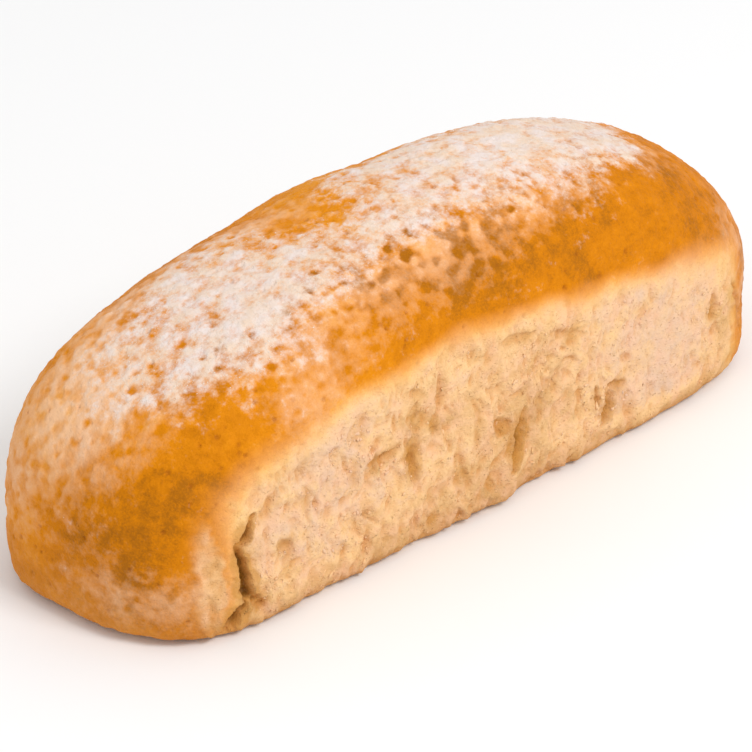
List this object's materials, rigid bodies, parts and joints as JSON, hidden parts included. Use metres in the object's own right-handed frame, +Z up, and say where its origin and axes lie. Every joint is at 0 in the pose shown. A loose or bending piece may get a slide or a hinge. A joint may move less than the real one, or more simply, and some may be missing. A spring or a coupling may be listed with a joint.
{
  "type": "farmhouse loaf",
  "caption": "Long batch-baked white loaf with a domed, flour-dusted golden crust, pale torn long sides and a flat base.",
  "frame": {"origin": "Middle of the footprint, on the surface that the loaf stands on.", "axes": "X runs along the loaf, with the wider and taller end towards +X; Y runs across it, with the torn side that has the dark crack towards -Y; Z is up."},
  "size_m": [0.3244, 0.1132, 0.1104],
  "materials": {
    "crust": "Baked bread: a thin golden to amber crust with a soft sheen, dusted with white flour, and pale peach torn crumb on both long sides."
  },
  "bodies": {
    "root": {"loaf": "crust"}
  },
  "joints": []
}
